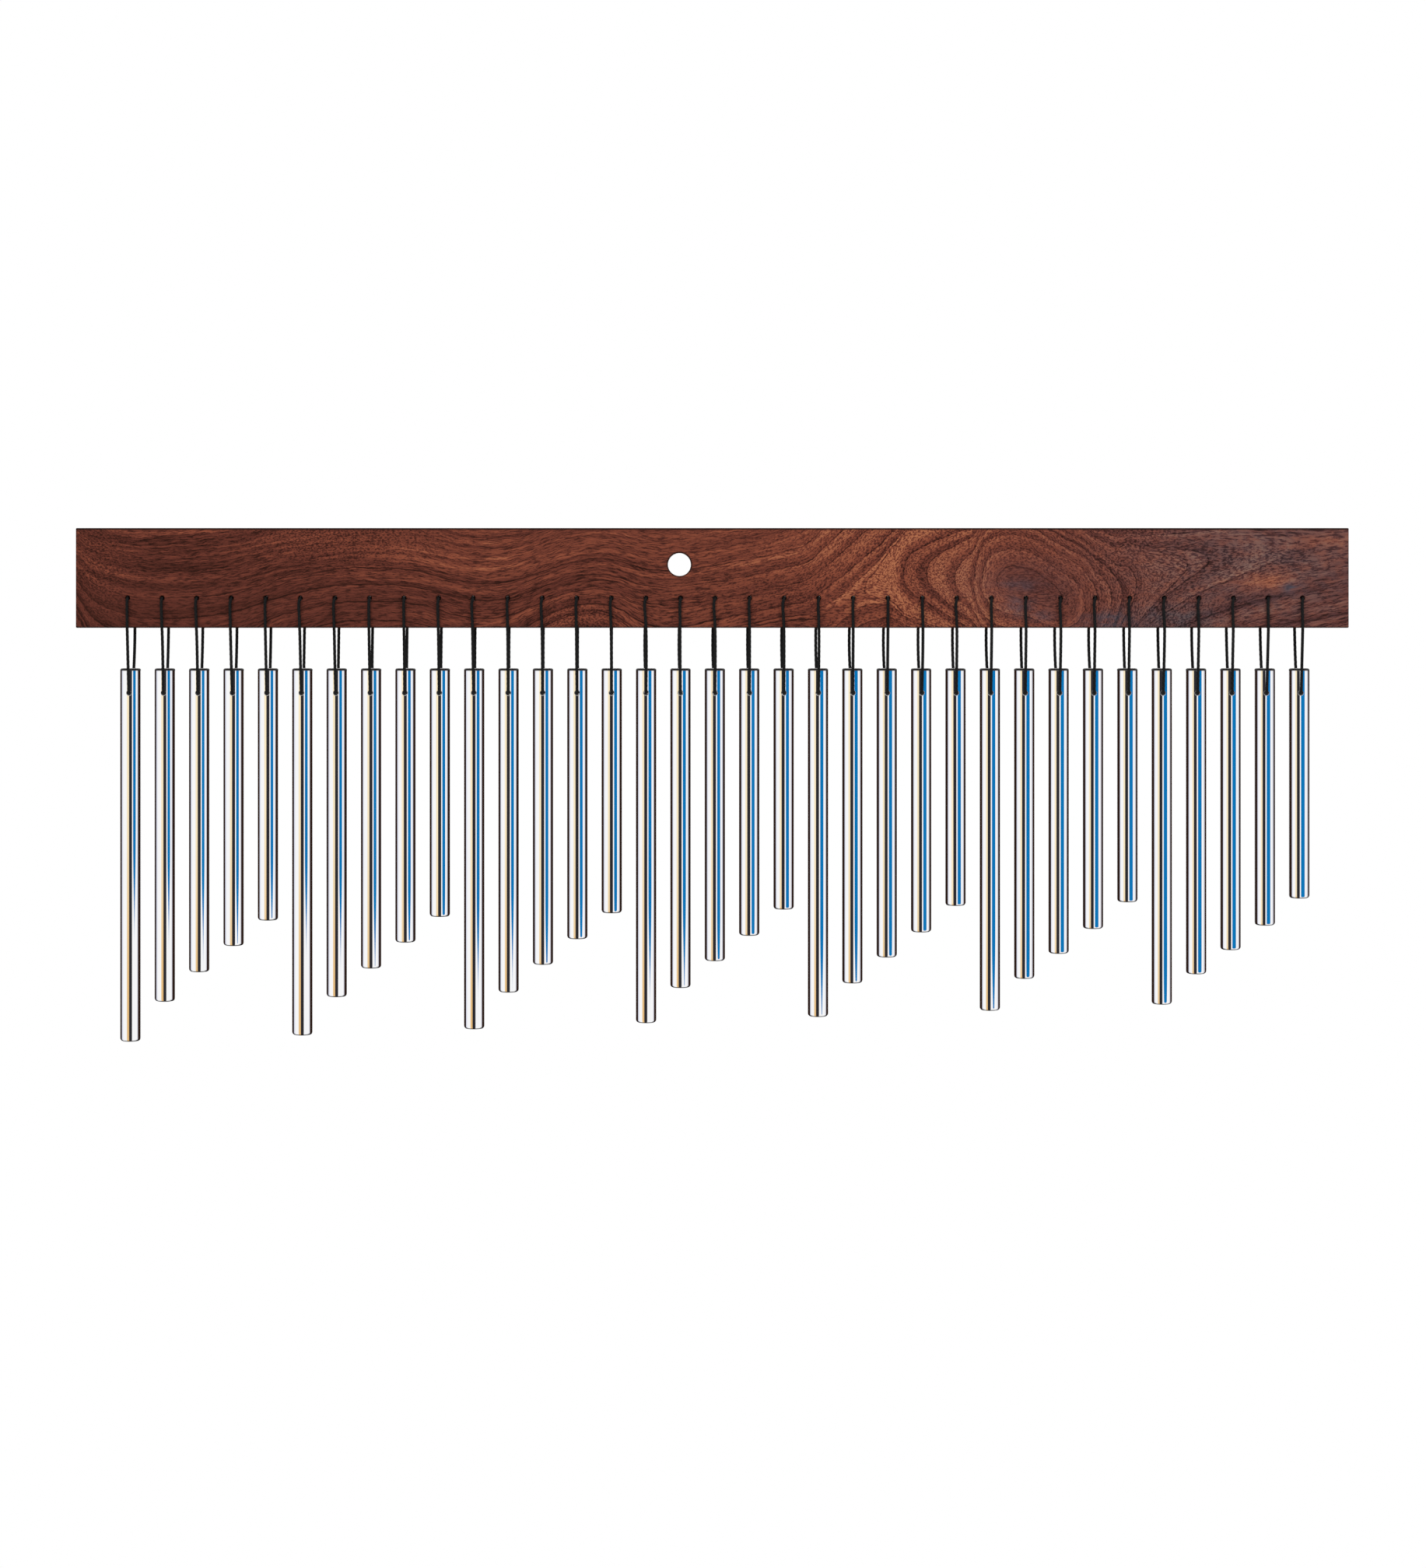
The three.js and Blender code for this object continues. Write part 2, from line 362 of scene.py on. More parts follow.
def wood_material():
    material = new_material("walnut")
    tree = material.node_tree
    x, y, z = coordinates(tree)

    def strongest(spots):
        fields = [strength * spot(x, z, middle, spread) for middle, spread, strength in spots]
        most = fields[0]
        for field in fields[1:]:
            most = most.math("MAXIMUM", field)
        return most

    # Growth rings: the distance from the heart, how fast it changes on the face, and a little wandering
    def heart_distance(place):
        depth = curve_of(place, HEART_DISTANCE) + 0.8 * (y + MANTLE_FACE / MM)
        rise = z - curve_of(place, HEART_HEIGHT)
        return (depth * depth + rise * rise).math("SQRT"), rise

    ring, rise = heart_distance(x)
    along = 0.5 * (heart_distance(x + 1.0)[0] - heart_distance(x - 1.0)[0])
    across = rise / ring
    change = (along * along + across * across + 0.002).math("SQRT")
    slow = noise(tree, (0.02 * x, 0.03 * y, 0.05 * z)) - 0.5
    quick = noise(tree, (0.16 * x, 0.2 * y, 0.3 * z), 3.0) - 0.5
    ring = ring + change * (3.2 * slow + 1.5 * quick)

    # The dark line at the end of each season's growth, stronger in some places than in others
    nearest = abs(ring - SEASON_ENDS[0])
    for radius in SEASON_ENDS[1:]:
        nearest = nearest.math("MINIMUM", abs(ring - radius))
    line = stretch(nearest / change, 0.42, 0.1)
    line = line * stretch(noise(tree, (0.025 * x, 0.05 * y, 0.06 * z)), 0.35, 0.55, 0.4, 1.0)

    # Broad bands, long fibres, and open pores that are long on the straight grain and short round the heart
    bands = noise(tree, (0.3 * ring, 0.006 * x, 0.006 * z))
    fibres = noise(tree, (0.9 * ring, 0.014 * x, 0.014 * z), 4.0, 0.68)
    short = spot(x, z, *SHORT_GRAIN[0])
    for middle, spread in SHORT_GRAIN[1:]:
        short = short.math("MAXIMUM", spot(x, z, middle, spread))
    flat = stretch(change, 0.5, 0.25)
    long_pores = noise(tree, (3.0 * ring, 0.2 * x, 0.2 * z), 3.0, 0.7)
    long_flat_pores = noise(tree, (3.0 * ring, 0.1 * x, 0.9 * z), 3.0, 0.7)
    long_pores = long_pores + flat * (long_flat_pores - long_pores)
    short_pores = noise(tree, (2.4 * ring, 0.85 * x, 0.85 * z), 2.0, 0.65)
    short_flat_pores = noise(tree, (6.0 * ring, 0.4 * x, 1.5 * z), 2.0, 0.65)
    short_pores = short_pores + flat * (short_flat_pores - short_pores)
    pores = long_pores + short * (short_pores - long_pores)
    pore = stretch(pores + 0.025 * short, 0.48, 0.6)
    heart = spot(x, z, *HEART_SPOT)

    # The left of the board is streaky above and plainer below, and its right end is streaky below
    left = stretch(x, *LEFT)
    upper = stretch(z, *UPPER)
    plain = left * (1.0 - upper)
    corner = stretch(x, *RIGHT_END) * stretch(z, *LOWER)
    streaky = left * upper + corner

    tone = curve_of(x, WOOD_LIGHTNESS) + 0.08
    tone = tone + (0.55 - 0.25 * short + 0.25 * streaky) * (bands - 0.5)
    tone = tone + (0.85 - 0.5 * short + 0.4 * streaky - 0.3 * plain) * (fibres - 0.5)
    tone = tone + 0.4 * (0.5 - pores)
    tone = tone + curve_of(ring, SEASON_GLOW) * spot(x, z, *SEASON_GLOW_SPOT)
    calm = 1.0 - 0.5 * stretch(x, *CALM)
    tone = tone + (0.1 + 0.12 * short) * calm * curve_of(ring, season_shade())
    tone = tone - (0.35 - 0.18 * heart - 0.16 * plain) * pore - 0.04 * plain - 0.06 * corner
    broken = stretch(pores, 0.38, 0.6, 1.0 - 0.4 * short, 1.0)
    tone = tone - (0.36 - 0.14 * heart) * (1.0 - 0.6 * stretch(x, *FAINT_LINES)) * line * broken
    bright = strongest(WOOD_BRIGHT)
    tone = tone + bright - strongest(WOOD_SHADY)
    colour = ramp(tree, tone, WOOD_TONES)

    dusk = strongest(WOOD_DUSK) * stretch(quick, -0.2, 0.15, 0.6, 1.0) * (1.0 - 4.0 * bright)
    colour = mix_colour(tree, dusk, colour, mix_colour(tree, 1.0, colour, DUSK_TINT, "MULTIPLY"))
    stain = strongest(WOOD_STAINS) * stretch(quick, -0.15, 0.1, 0.35, 1.0) * (1.0 - 0.5 * pore)
    colour = mix_colour(tree, stain, colour, STAIN_COLOUR)

    # Painted shade: the eased edges and the rims of the stand hole are darkened, the upper edges most
    from_edge = (MANTLE_HIGH.z / MM - z - UPPER_EDGE_SHADE_MORE).math("MINIMUM", z - MANTLE_LOW.z / MM)
    from_hole = (x * x + z * z).math("SQRT") - STAND_HOLE_RADIUS / MM
    from_face = MANTLE_FACE / MM - abs(y)
    edge = stretch(from_edge.math("MINIMUM", from_hole).math("MAXIMUM", from_face), 0.9, 0.2)
    colour = mix_colour(tree, 0.88 * edge, colour, EDGE_PAINTED_SHADE)

    relief = 0.5 * fibres - pore
    bump = add_node(tree, "ShaderNodeBump", {"Strength": 0.3, "Distance": 0.12 * MM, "Height": relief})
    surface = add_node(tree, "ShaderNodeBsdfPrincipled", {
        "Base Color": colour,
        "Roughness": 0.42 + 0.2 * pore,
        "Specular IOR Level": 0.06,
        "Normal": bump.outputs[0],
    })
    add_node(tree, "ShaderNodeOutputMaterial", {0: surface.outputs[0]})
    return material


# The polished metal between its smears and in them, its faced ends, and the painted dark reflection on its
# edges and painted shade in its holes
METAL_CLEAR = (0.9, 0.9, 0.915, 1.0)
METAL_SMEARED = (0.95, 0.95, 0.955, 1.0)
METAL_FACED = (0.5, 0.5, 0.515, 1.0)
METAL_PAINTED_SHADE_AND_REFLECTION = (0.012, 0.009, 0.008, 1.0)

# How far below a bar's top the painted dark reflection on its rim begins and is full, in millimetres, and the
# facing marks' waves, in radians to the millimetre
TOP_RIM_PAINTED_REFLECTION = (1.25, 0.85)
FACING_MARKS = 24.0


def metal_material():
    material = new_material("polished_metal")
    tree = material.node_tree
    x, y, z = coordinates(tree)
    side, _, rise = coordinates(tree, "Normal", 1.0)
    smears = noise(tree, (0.07 * x, 0.07 * y, 0.03 * z), 3.0)

    # The cut ends keep the round marks of the facing tool. Their rounded edges and the corners of the feet
    # get a painted dark reflection, and the hole gets painted shade.
    from_hole = (x * x + z * z).math("SQRT")
    end = stretch(abs(rise), 0.93, 0.99)
    edge = stretch(rise, -0.06, -0.25)
    corner = stretch(abs(side), 0.5, 0.8) * stretch(rise, -0.02, -0.08)
    rim = stretch(z, BAR_TOP / MM - TOP_RIM_PAINTED_REFLECTION[0], BAR_TOP / MM - TOP_RIM_PAINTED_REFLECTION[1])
    lip = (BAR_HOLE_RADIUS + 0.85 * BAR_HOLE_LIP) / MM
    bore = stretch(from_hole, lip, lip - 0.4 * BAR_HOLE_LIP / MM)
    painted_shade_and_reflection = (edge.math("MAXIMUM", corner).math("MAXIMUM", rim) - end).math("MAXIMUM", bore)
    out = (x * x + y * y).math("SQRT")
    marks = (FACING_MARKS * out).math("SINE") * end
    bump = add_node(tree, "ShaderNodeBump", {"Strength": 0.25, "Distance": 0.02 * MM, "Height": marks})
    colour = mix_colour(tree, smears, METAL_CLEAR, METAL_SMEARED)
    colour = mix_colour(tree, end, colour, METAL_FACED)
    # Paint in the dark reflection on the ends and the shade in the hole
    colour = mix_colour(tree, 0.97 * painted_shade_and_reflection, colour, METAL_PAINTED_SHADE_AND_REFLECTION)
    surface = add_node(tree, "ShaderNodeBsdfPrincipled", {
        "Base Color": colour,
        "Metallic": 1.0 - bore,
        "Roughness": 0.015 + 0.02 * smears + 0.14 * end + 0.3 * painted_shade_and_reflection + 0.5 * bore,
        "Normal": bump.outputs[0],
    })
    add_node(tree, "ShaderNodeOutputMaterial", {0: surface.outputs[0]})
    return material


# The cord's tones, from the painted shade in the hollows of its braid to its worn yarn
CORD_TONES = [
    (0.15, (0.0010, 0.0010, 0.0010)),
    (0.6, (0.0036, 0.0037, 0.0038)),
    (1.0, (0.012, 0.0125, 0.013)),
]


def cord_material():
    material = new_material("black_cord")
    tree = material.node_tree
    x, y, z = coordinates(tree)
    braid = Field(tree, add_node(tree, "ShaderNodeAttribute", attribute_name="braid").outputs["Fac"])
    yarn = noise(tree, (5.2 * x, 5.2 * y, 5.2 * z))
    worn = noise(tree, (0.18 * x, 0.18 * y, 0.18 * z))
    # The braid's height darkens its hollows: painted shade
    colour = ramp(tree, 0.55 * braid + 0.3 * yarn + 0.15 * worn, CORD_TONES)
    relief = braid + 0.4 * yarn
    bump = add_node(tree, "ShaderNodeBump", {"Strength": 0.5, "Distance": 0.1 * MM, "Height": relief})
    surface = add_node(tree, "ShaderNodeBsdfPrincipled", {
        "Base Color": colour,
        "Roughness": 0.6,
        "Specular IOR Level": 0.16,
        "Normal": bump.outputs[0],
    })
    add_node(tree, "ShaderNodeOutputMaterial", {0: surface.outputs[0]})
    return material


# Pieces

def add_piece(name, mesh, material, body, nodes, location=(0, 0, 0)):
    piece = bpy.data.objects.new(name, mesh)
    piece.location = location
    mesh.materials.append(material)
    bpy.context.scene.collection.objects.link(piece)
    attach(piece, body)
    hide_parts(*nodes)
    return piece


def circle(radius, x, z, count):
    angles = np.arange(count) * 2 * math.pi / count
    return [(x + radius * math.cos(a), z + radius * math.sin(a)) for a in angles]


def rounded_rectangle(low, high, radius, steps=4):
    corners = (
        (high.x - radius, high.z - radius, 0.0), (low.x + radius, high.z - radius, 0.5),
        (low.x + radius, low.z + radius, 1.0), (high.x - radius, low.z + radius, 1.5),
    )
    points = []
    for x, z, start in corners:
        for step in range(steps + 1):
            angle = (start + 0.5 * step / steps) * math.pi
            points.append((x + radius * math.cos(angle), z + radius * math.sin(angle)))
    return points


def mantle_mesh():
    """The board: its outline and holes, drawn out to its thickness with eased edges."""
    outline = bpy.data.curves.new("mantle_outline", "CURVE")
    outline.dimensions = "2D"
    outline.fill_mode = "BOTH"
    outline.extrude = MANTLE_FACE - MANTLE_EASE
    outline.bevel_depth = MANTLE_EASE
    outline.bevel_resolution = MANTLE_EASE_STEPS
    outline.offset = -MANTLE_EASE
    rings = [rounded_rectangle(MANTLE_LOW, MANTLE_HIGH, MANTLE_EASE)]
    rings.append(circle(STAND_HOLE_RADIUS, 0, 0, STAND_HOLE_SIDES))
    rings += [circle(CORD_HOLE_RADIUS, SWINGS[name].x, CORD_HOLES_Z, CORD_HOLE_SIDES) for name in BAR_NAMES]
    for ring in rings:
        spline = outline.splines.new("POLY")
        spline.points.add(len(ring) - 1)
        for point, (x, z) in zip(spline.points, ring):
            point.co = (x, z, 0, 1)
        spline.use_cyclic_u = True
    drawn = bpy.data.objects.new("mantle_outline", outline)
    bpy.context.scene.collection.objects.link(drawn)
    bpy.context.view_layer.update()
    mesh = bpy.data.meshes.new_from_object(drawn.evaluated_get(bpy.context.evaluated_depsgraph_get()))
    bpy.data.objects.remove(drawn)
    bpy.data.curves.remove(outline)
    mesh.materials.clear()

    board = bmesh.new()
    board.from_mesh(mesh)
    for vertex in board.verts:
        vertex.co = (vertex.co.x, -vertex.co.z, vertex.co.y)
    bmesh.ops.remove_doubles(board, verts=board.verts, dist=WELD_DISTANCE)
    bmesh.ops.recalc_face_normals(board, faces=board.faces)
    for face in board.faces:
        face.smooth = max(abs(value) for value in face.normal) < FLAT_NORMAL
    board.to_mesh(mesh)
    board.free()
    return mesh


def bar_rings(top, bottom):
    """The bar's rings from its upper end to its lower one: radius, height and the normal's two shares."""
    inner = BAR_RADIUS - BAR_END_EASE
    foot = BAR_RADIUS - BAR_FOOT_EASE
    turns = [math.radians(angle) for angle in BAR_END_TURNS]
    rings = [(share * inner, top, 0, 1) for share in BAR_END_RINGS]
    for turn in turns:
        out, up = math.cos(turn), math.sin(turn)
        rings.append((inner + BAR_END_EASE * out, top - BAR_END_EASE + BAR_END_EASE * up, out, up))
    patch = BAR_RADIUS * math.sin(2 * math.pi * BAR_PATCH / BAR_SIDES)
    upper = np.linspace(top - BAR_END_EASE, patch, BAR_UPPER_STEPS + 1)[1:]
    across = np.linspace(patch, -patch, 2 * BAR_PATCH + 1)[1:]
    count = max(2, round((-patch - bottom) / BAR_STEP))
    lower = np.linspace(-patch, bottom + BAR_FOOT_EASE, count + 1)[1:]
    first = len(rings) - 1 + len(upper)
    for z in (*upper, *across, *lower):
        rings.append((BAR_RADIUS, z, 1, 0))
    for turn in reversed(turns[:-1]):
        reach, drop = BAR_FOOT_EASE * math.cos(turn), BAR_FOOT_EASE * math.sin(turn)
        late = turn * (2 * turn / math.pi) ** 2
        rings.append((foot + reach, bottom + BAR_FOOT_EASE - drop, math.cos(late), -math.sin(late)))
    rings += [(share * foot, bottom, 0, -1) for share in reversed(BAR_END_RINGS)]
    return rings, first, first + 2 * BAR_PATCH


def bar_mesh(name, top, bottom, lean):
    """A solid rod with rounded ends and a cross hole with rounded lips, in its own frame at the hole."""
    rings, first, last = bar_rings(top, bottom)
    points, normals, faces = [], [], []

    def add(point, normal):
        points.append(point)
        normals.append(Vector(normal).normalized())
        return len(points) - 1

    def in_patch(column, margin):
        offset = min(column % (BAR_SIDES // 2), -column % (BAR_SIDES // 2))
        return offset < BAR_PATCH + margin

    grid = {}
    for row, (radius, z, out, up) in enumerate(rings):
        for column in range(BAR_SIDES):
            if first < row < last and in_patch(column, 0):
                continue
            angle = 2 * math.pi * column / BAR_SIDES
            side, front = math.sin(angle), -math.cos(angle)
            tilted = (out * side, out * front, up - lean * out * front)
            grid[row, column] = add((radius * side, radius * front, z), tilted)
    for row in range(len(rings) - 1):
        for column in range(BAR_SIDES):
            following = (column + 1) % BAR_SIDES
            if first <= row < last and in_patch(column, 1) and in_patch(following, 1):
                continue
            faces.append((
                grid[row, column], grid[row + 1, column],
                grid[row + 1, following], grid[row, following],
            ))
    upper = add((0, 0, top), (0, 0, 1))
    lower = add((0, 0, bottom), (0, 0, -1))
    for column in range(BAR_SIDES):
        following = (column + 1) % BAR_SIDES
        faces.append((upper, grid[0, column], grid[0, following]))
        faces.append((grid[len(rings) - 1, column], lower, grid[len(rings) - 1, following]))

    # Round each mouth of the hole: rings from the square patch to the lip, over it and into the hole
    reach = range(-BAR_PATCH, BAR_PATCH)
    walk = [(first, step) for step in reach] + [(first + BAR_PATCH + step, BAR_PATCH) for step in reach]
    walk += [(last, -step) for step in reach] + [(first + BAR_PATCH - step, -BAR_PATCH) for step in reach]
    mouths = []
    for front in (-1, 1):
        corners = []
        for row, step in walk:
            column = step if front < 0 else BAR_SIDES // 2 - step
            corners.append(grid[row, column % BAR_SIDES])
        loops = [corners]
        for share in BAR_PATCH_RINGS:
            loops.append([])
            for corner in corners:
                x, z = points[corner][0], points[corner][2]
                lip = (BAR_HOLE_RADIUS + BAR_HOLE_LIP) / math.hypot(x, z)
                x, z = x * (1 - share + share * lip), z * (1 - share + share * lip)
                y = front * math.sqrt(BAR_RADIUS ** 2 - x ** 2)
                loops[-1].append(add((x, y, z), (x, y, -lean * y)))
        for turn in BAR_LIP_TURNS:
            sine, cosine = math.sin(math.radians(turn)), math.cos(math.radians(turn))
            loops.append([])
            for corner in corners:
                x, z = points[corner][0], points[corner][2]
                away = Vector((x, 0, z)).normalized()
                place = away * (BAR_HOLE_RADIUS + BAR_HOLE_LIP * (1 - sine))
                wall = math.sqrt(BAR_RADIUS ** 2 - place.x ** 2)
                radial = Vector((place.x, front * wall, 0)) / BAR_RADIUS
                y = front * (wall - BAR_HOLE_LIP * (1 - cosine))
                loops[-1].append(add((place.x, y, place.z), radial * cosine - away * sine))
        for outer, inner in zip(loops, loops[1:]):
            faces += ring_faces(outer, inner, front < 0)
        mouths.append(loops[-1])
    faces += ring_faces(mouths[0], mouths[1], True)

    mesh = bpy.data.meshes.new(name)
    mesh.from_pydata(points, [], faces)
    mesh.shade_smooth()
    mesh.normals_split_custom_set_from_vertices(normals)
    mesh.update()
    return mesh


def ring_faces(outer, inner, forward):
    """Four-sided faces between two closed loops of as many points."""
    faces = []
    for index in range(len(outer)):
        following = (index + 1) % len(outer)
        face = (outer[index], inner[index], inner[following], outer[following])
        faces.append(face if forward else face[::-1])
    return faces


def arc(centre, radius, start, end, count=16):
    """Points of an arc in the plane of y and z, from one angle to another."""
    angles = np.linspace(start, end, count)
    return [(centre[0] + radius * math.cos(a), centre[1] + radius * math.sin(a)) for a in angles]


def loop_route(bar_hole_z):
    """One loop's centre line as (y, z): out of the mantle, down, through the bar and up behind it."""
    bar_bend_y = BAR_RADIUS + CORD_GAP + CORD_RADIUS - CORD_BEND
    bar_bend_z = bar_hole_z + CORD_IN_BAR_LIFT + CORD_BEND
    across = STRAND_OFFSET - bar_bend_y
    up = MANTLE_LOW.z - bar_bend_z
    slope = math.atan2(across, up) - math.asin(CORD_BEND / math.hypot(across, up))
    edge_reach = CORD_EDGE_BEND * math.tan(slope / 2)
    front_bend = (CORD_BEND - STRAND_OFFSET, CORD_IN_MANTLE_Z - CORD_BEND)
    route = [(MANTLE_FACE + 2 * CORD_RADIUS, CORD_IN_MANTLE_Z)]
    route += arc(front_bend, CORD_BEND, 0.5 * math.pi, math.pi)
    edge = (CORD_EDGE_BEND - STRAND_OFFSET, MANTLE_LOW.z + edge_reach)
    route += arc(edge, CORD_EDGE_BEND, math.pi, math.pi + slope, count=8)
    route += arc((-bar_bend_y, bar_bend_z), CORD_BEND, math.pi + slope, 1.5 * math.pi)
    route += arc((bar_bend_y, bar_bend_z), CORD_BEND, 1.5 * math.pi, 2 * math.pi - slope)
    route += arc((-edge[0], edge[1]), CORD_EDGE_BEND, 2 * math.pi - slope, 2 * math.pi, count=8)
    route.append((STRAND_OFFSET, CORD_IN_MANTLE_Z + LOOP_END_RISE))
    return route


def evenly(route, step):
    """Points at even steps along a route."""
    route = np.array(route)
    lengths = np.linalg.norm(np.diff(route, axis=0), axis=1)
    along = np.concatenate([[0], np.cumsum(lengths)])
    count = max(2, round(along[-1] / step))
    stations = np.linspace(0, along[-1], count + 1)
    return np.stack([np.interp(stations, along, route[:, axis]) for axis in range(3)], axis=1)


class Braid:
    """Braided tubes that share one mesh, with the height of the braid kept at each point."""

    def __init__(self):
        self.points = []
        self.heights = []
        self.faces = []
        self.count = 0

    def add_tube(self, route, radius, thicken=None):
        route = evenly(route, CORD_STEP)
        tangents = np.gradient(route, axis=0)
        tangents /= np.linalg.norm(tangents, axis=1)[:, None]
        side = np.cross(tangents[0], BRAID_START)
        angles = np.arange(CORD_SIDES) * 2 * math.pi / CORD_SIDES
        rings = []
        for index, (centre, tangent) in enumerate(zip(route, tangents)):
            side = side - tangent * side.dot(tangent)
            side /= np.linalg.norm(side)
            other = np.cross(tangent, side)
            turn = 2 * math.pi * index * CORD_STEP / BRAID_PITCH
            height = np.maximum(np.cos(BRAID_STRANDS * angles + turn), np.cos(BRAID_STRANDS * angles - turn))
            height = 0.5 + 0.5 * height
            reach = (radius + (thicken(*centre) if thicken else 0)) * (1 - BRAID_RELIEF * (1 - height))
            if index in (0, len(route) - 1):
                reach = reach * TIP_WIDTH
            ring = centre + np.outer(reach * np.cos(angles), side) + np.outer(reach * np.sin(angles), other)
            rings.append(self.add_points(ring, height))
        for first, second in zip(rings, rings[1:]):
            self.faces += ring_faces(first, second, False)
        first_tip = route[0] - TIP_REACH * radius * tangents[0]
        last_tip = route[-1] + TIP_REACH * radius * tangents[-1]
        for ring, tip, forward in ((rings[0], first_tip, False), (rings[-1], last_tip, True)):
            middle = self.add_points([tip], [TIP_HEIGHT])[0]
            for index in range(CORD_SIDES):
                face = (ring[index], ring[(index + 1) % CORD_SIDES], middle)
                self.faces.append(face if forward else face[::-1])

    def add_points(self, points, heights):
        self.points.append(np.array(points))
        self.heights.append(np.array(heights))
        start = self.count
        self.count += len(points)
        return list(range(start, self.count))

    def mesh(self, name):
        mesh = bpy.data.meshes.new(name)
        mesh.from_pydata(np.concatenate(self.points).tolist(), [], self.faces)
        mesh.shade_smooth()
        layer = mesh.attributes.new("braid", "FLOAT", "POINT")
        layer.data.foreach_set("value", np.concatenate(self.heights).astype(np.float32))
        mesh.update()
        return mesh


def knot_route(x, before, after):
    """The cord behind one hole: from the left, round the loop in one turn and on to the right."""
    low = STRAND_OFFSET - (CORD_RADIUS - KNOT_CORD_RADIUS)
    high = MANTLE_FACE + CORD_GAP + KNOT_TOP - KNOT_CORD_RADIUS
    top = CORD_IN_MANTLE_Z + KNOT_RADIUS
    route = [(x - before, low, top - KNOT_DIP), (x - 0.5 * before, low, top)]
    for share in np.linspace(0, 1, KNOT_STEPS + 1):
        angle = math.pi / 2 - 2 * math.pi * share
        lift = math.sin(math.pi * min(share, 0.5)) ** 2
        y = low + (high - low) * lift
        route.append((x + KNOT_RADIUS * math.cos(angle), y, CORD_IN_MANTLE_Z + KNOT_RADIUS * math.sin(angle)))
    route += [(x + 0.5 * after, 0.5 * (low + high), top), (x + after, low, top - KNOT_DIP)]
    return route


def bunching(y, rise):
    """How much thicker the cord is where it bunches up inside the bar's hole."""
    depth = (BAR_RADIUS - abs(y)) / BUNCHING_REACH
    return BUNCHING * min(max(depth, 0), 1) if rise < CORD_BEND else 0


def cord_mesh(name, holes):
    """The cord of one group: a loop for each bar, bound behind its hole, and the runs between the holes."""
    braid = Braid()

    # Each cord strays in its own way, which its number sets
    wander = np.random.default_rng(int(name[-1]))
    for hole in holes:
        front_bow, back_bow = wander.uniform(-STRAND_BOW, STRAND_BOW, 2)
        kink = wander.uniform(0, KINK_MOST)
        back_bow += MM * np.interp(hole.x / MM, *zip(*BACK_BOW))
        route = evenly([(hole.x, y, z) for y, z in loop_route(hole.z)], CORD_STEP)
        for point in route:
            drop = max(CORD_IN_MANTLE_Z - point[2], 0)
            share = math.sin(math.pi * min(drop / (CORD_IN_MANTLE_Z - hole.z), 1))
            if point[1] < 0:
                point[0] += front_bow * share - kink * drop / KINK_DROP * math.exp(1 - drop / KINK_DROP)
            else:
                point[0] += back_bow * share
        braid.add_tube(route, CORD_RADIUS, lambda x, y, z: bunching(y, z - hole.z))
    half = (holes[1].x - holes[0].x) / 2
    for index, hole in enumerate(holes):
        before = KNOT_TAIL if index == 0 else half
        after = KNOT_TAIL if index == len(holes) - 1 else half
        braid.add_tube(knot_route(hole.x, before, after), KNOT_CORD_RADIUS)
    return braid.mesh(name)


walnut = wood_material()
polished_metal = metal_material()
black_cord = cord_material()

add_piece("mantle_board", mantle_mesh(), walnut, "mantle", ["mantle"])

leans = np.linspace(FIRST_LEAN, LAST_LEAN, len(BAR_NAMES))
leans += np.random.default_rng(len(BAR_NAMES)).uniform(-LEAN_WANDER, LEAN_WANDER, len(BAR_NAMES))
for bar, lean in zip(BAR_NAMES, np.radians(leans)):
    low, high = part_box(bar)
    hole = SWINGS[bar]
    mesh = bar_mesh(f"{bar}_rod", high.z - hole.z, low.z - hole.z, lean)
    rod = add_piece(f"{bar}_rod", mesh, polished_metal, bar, [bar], hole)
    rod.visible_glossy = False

for start in range(0, len(BAR_NAMES), GROUP_SIZE):
    node = f"cord_{start // GROUP_SIZE + 1}"
    holes = [SWINGS[bar] for bar in BAR_NAMES[start:start + GROUP_SIZE]]
    mesh = cord_mesh(f"braided_{node}", holes)
    cord = add_piece(f"braided_{node}", mesh, black_cord, "mantle", [node])
    cord.visible_glossy = False


# Stage: a pale floor far below, plain soft light, and the cards that the polished bars mirror

FLOOR_Z = -1.0
FLOOR_RADIUS = 5.0
FLOOR_SIDES = 96
FLOOR_GREY = (0.8, 0.8, 0.8, 1.0)
SURROUND_LIGHT = 0.7
CARDS_RADIUS = 1.15
CARDS_LOW = -0.98
CARDS_HIGH = 1.2
CARDS_SIDES = 180

# The cards' colours
WHITE = (1.0, 1.0, 1.0)
PALE_BLUE = (0.84, 0.86, 0.92)
LAVENDER = (0.66, 0.67, 0.78)
GOLD = (1.0, 0.85, 0.58)
BLACK = (0.026, 0.025, 0.03)
BLUE = (0.004, 0.19, 0.5)
LILAC = (0.68, 0.67, 0.73)
SHADE = (0.026, 0.0125, 0.0092)
DEEP_GOLD = (0.82, 0.52, 0.22)

# Places on the cards. Middles, halves, sides and their fades are in degrees round the object. Heights are in
# metres, and so are the middle, half and fade of the dark card behind. The paleness is a share.
GOLD_MIDDLE = -32
GOLD_HALF = 12
GOLD_FADE = 3.0
GOLD_DEEP = -0.36
GOLD_PALE = -0.18
BLUE_MIDDLE = 45
BLUE_HALF = 19
BLUE_FADE = 1.0
BLUE_SHOULDER = -0.25
BLUE_POINT = -0.35
CARDS_PALE_LOW = 0.0
CARDS_PALE_HIGH = 0.06
CARDS_PALENESS = 0.85
BEHIND_MIDDLE = 0.02
BEHIND_HALF = 0.07
BEHIND_FADE = 0.03
BEHIND_SIDE = 140
BEHIND_SIDE_FADE = 6.0

